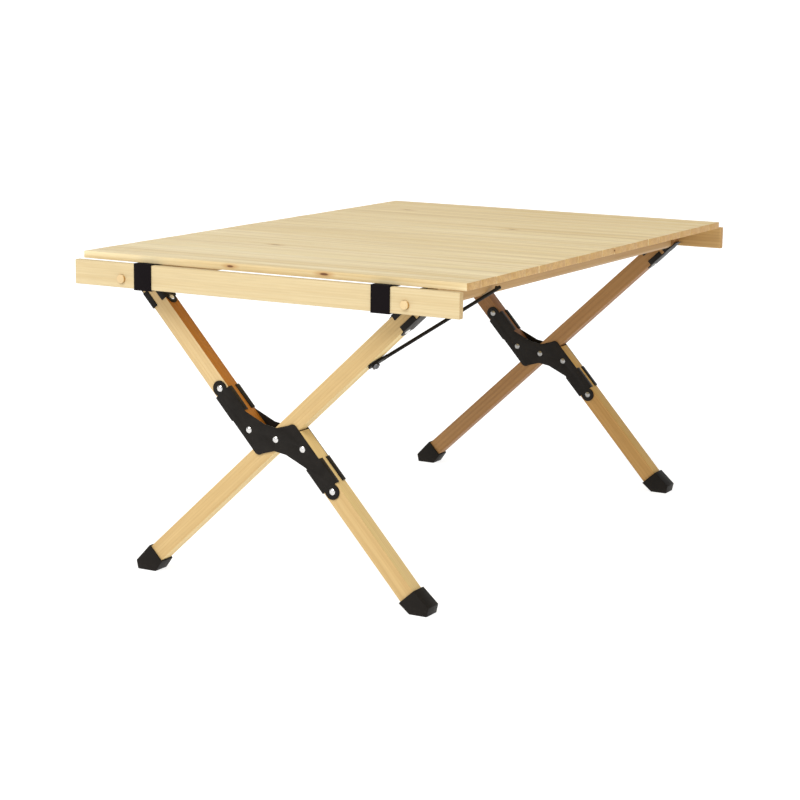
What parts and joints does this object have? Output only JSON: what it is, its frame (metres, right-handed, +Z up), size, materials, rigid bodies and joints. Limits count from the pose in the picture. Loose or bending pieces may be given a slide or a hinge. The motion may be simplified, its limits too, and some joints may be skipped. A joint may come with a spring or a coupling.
{
  "type": "folding picnic table",
  "caption": "Low folding picnic table: roll-up slatted wooden top on webbing straps, two end bars, two long rails and two scissor leg frames with black steel plates and plastic feet.",
  "frame": {"origin": "on the floor under the middle of the table top", "axes": "+X along the long side of the top, +Y along the slats, +Z up"},
  "size_m": [0.941, 0.6, 0.4535],
  "materials": {
    "slat_wood": "planed pine, clear matt finish",
    "bar_wood": "planed pine, clear matt finish",
    "rail_wood": "planed pine, clear matt finish",
    "leg_wood": "planed pine, clear matt finish",
    "dowel_wood": "turned hardwood, unfinished",
    "webbing": "woven black polyester webbing",
    "black_steel": "satin black powder coat",
    "bright_steel": "bright zinc plate",
    "grey_steel": "dull grey zinc plate",
    "foot_plastic": "moulded black plastic"
  },
  "bodies": {
    "right_rail": {"rail_right": "rail_wood", "rail_right_dowels": "dowel_wood"},
    "table_top": {"slat_01": "slat_wood", "slat_02": "slat_wood", "slat_03": "slat_wood", "slat_04": "slat_wood", "slat_05": "slat_wood", "slat_06": "slat_wood", "slat_07": "slat_wood", "slat_08": "slat_wood", "slat_09": "slat_wood", "slat_10": "slat_wood", "slat_11": "slat_wood", "slat_12": "slat_wood", "slat_13": "slat_wood", "slat_14": "slat_wood", "slat_15": "slat_wood", "slat_16": "slat_wood", "slat_17": "slat_wood", "slat_18": "slat_wood", "slat_19": "slat_wood", "slat_20": "slat_wood", "slat_21": "slat_wood", "end_bar_near": "bar_wood", "end_bar_far": "bar_wood", "strap_right": "webbing", "strap_left": "webbing", "strap_staples": "bright_steel"},
    "near_straight_leg": {"near_straight_leg": "leg_wood", "near_straight_leg_bracket": "black_steel", "near_straight_bracket_rivet": "bright_steel", "near_straight_leg_foot": "foot_plastic", "near_brace_screw": "grey_steel"},
    "near_split_leg": {"near_upper_half_leg": "leg_wood", "near_lower_half_leg": "leg_wood", "near_outer_centre_plate": "black_steel", "near_inner_centre_plate": "black_steel", "near_pivot_rivet": "bright_steel", "near_plate_rivets": "bright_steel", "near_split_leg_bracket": "black_steel", "near_split_bracket_rivet": "bright_steel", "near_split_leg_foot": "foot_plastic"},
    "left_rail": {"rail_left": "rail_wood", "rail_left_dowels": "dowel_wood"},
    "far_straight_leg": {"far_straight_leg": "leg_wood", "far_straight_leg_bracket": "black_steel", "far_straight_bracket_rivet": "bright_steel", "far_straight_leg_foot": "foot_plastic"},
    "far_split_leg": {"far_upper_half_leg": "leg_wood", "far_lower_half_leg": "leg_wood", "far_outer_centre_plate": "black_steel", "far_inner_centre_plate": "black_steel", "far_pivot_rivet": "bright_steel", "far_plate_rivets": "bright_steel", "far_split_leg_bracket": "black_steel", "far_split_bracket_rivet": "bright_steel", "far_split_leg_foot": "foot_plastic", "far_brace_screw": "grey_steel"},
    "near_brace": {"near_brace_rod": "black_steel"},
    "far_brace": {"far_brace_rod": "black_steel"}
  },
  "joints": [
    {"name": "near_frame_fold", "type": "hinge", "parent": "right_rail", "child": "near_straight_leg", "pos_m": [-0.4105, -0.2217, 0.4218], "axis": [-1, 0, 0], "range_deg": [0, 42]},
    {"name": "near_scissor_pivot", "type": "hinge", "parent": "near_straight_leg", "child": "near_split_leg", "pos_m": [-0.4105, 0, 0.2136], "axis": [1, 0, 0], "range_deg": [0, 84]},
    {"name": "left_rail_hinge", "type": "hinge", "parent": "near_split_leg", "child": "left_rail", "pos_m": [-0.4105, 0.2217, 0.4218], "axis": [-1, 0, 0], "range_deg": [0, 42]},
    {"name": "far_frame_fold", "type": "hinge", "parent": "right_rail", "child": "far_straight_leg", "pos_m": [0.4305, -0.2217, 0.4218], "axis": [-1, 0, 0], "range_deg": [0, 42]},
    {"name": "far_scissor_pivot", "type": "hinge", "parent": "far_straight_leg", "child": "far_split_leg", "pos_m": [0.4305, 0, 0.2136], "axis": [1, 0, 0], "range_deg": [0, 84]},
    {"name": "top_lift", "type": "slide", "parent": "right_rail", "child": "table_top", "axis": [0, 0, 1], "range_m": [0, 0.22]},
    {"name": "near_brace_swing", "type": "hinge", "parent": "near_straight_leg", "child": "near_brace", "pos_m": [-0.4105, -0.14609, 0.32994], "axis": [0, 0.6846, 0.729], "range_deg": [0, 100]},
    {"name": "far_brace_swing", "type": "hinge", "parent": "far_split_leg", "child": "far_brace", "pos_m": [0.4305, 0.15425, 0.32379], "axis": [0, -0.7446, 0.6675], "range_deg": [0, 100]}
  ],
  "couplings": [
    {"joint": "near_scissor_pivot", "follows": "near_frame_fold", "ratio": 2},
    {"joint": "left_rail_hinge", "follows": "near_frame_fold", "ratio": 1},
    {"joint": "far_frame_fold", "follows": "near_frame_fold", "ratio": 1},
    {"joint": "far_scissor_pivot", "follows": "near_frame_fold", "ratio": 2},
    {"joint": "top_lift", "follows": "near_frame_fold", "m_per_rad": 0.3}
  ]
}
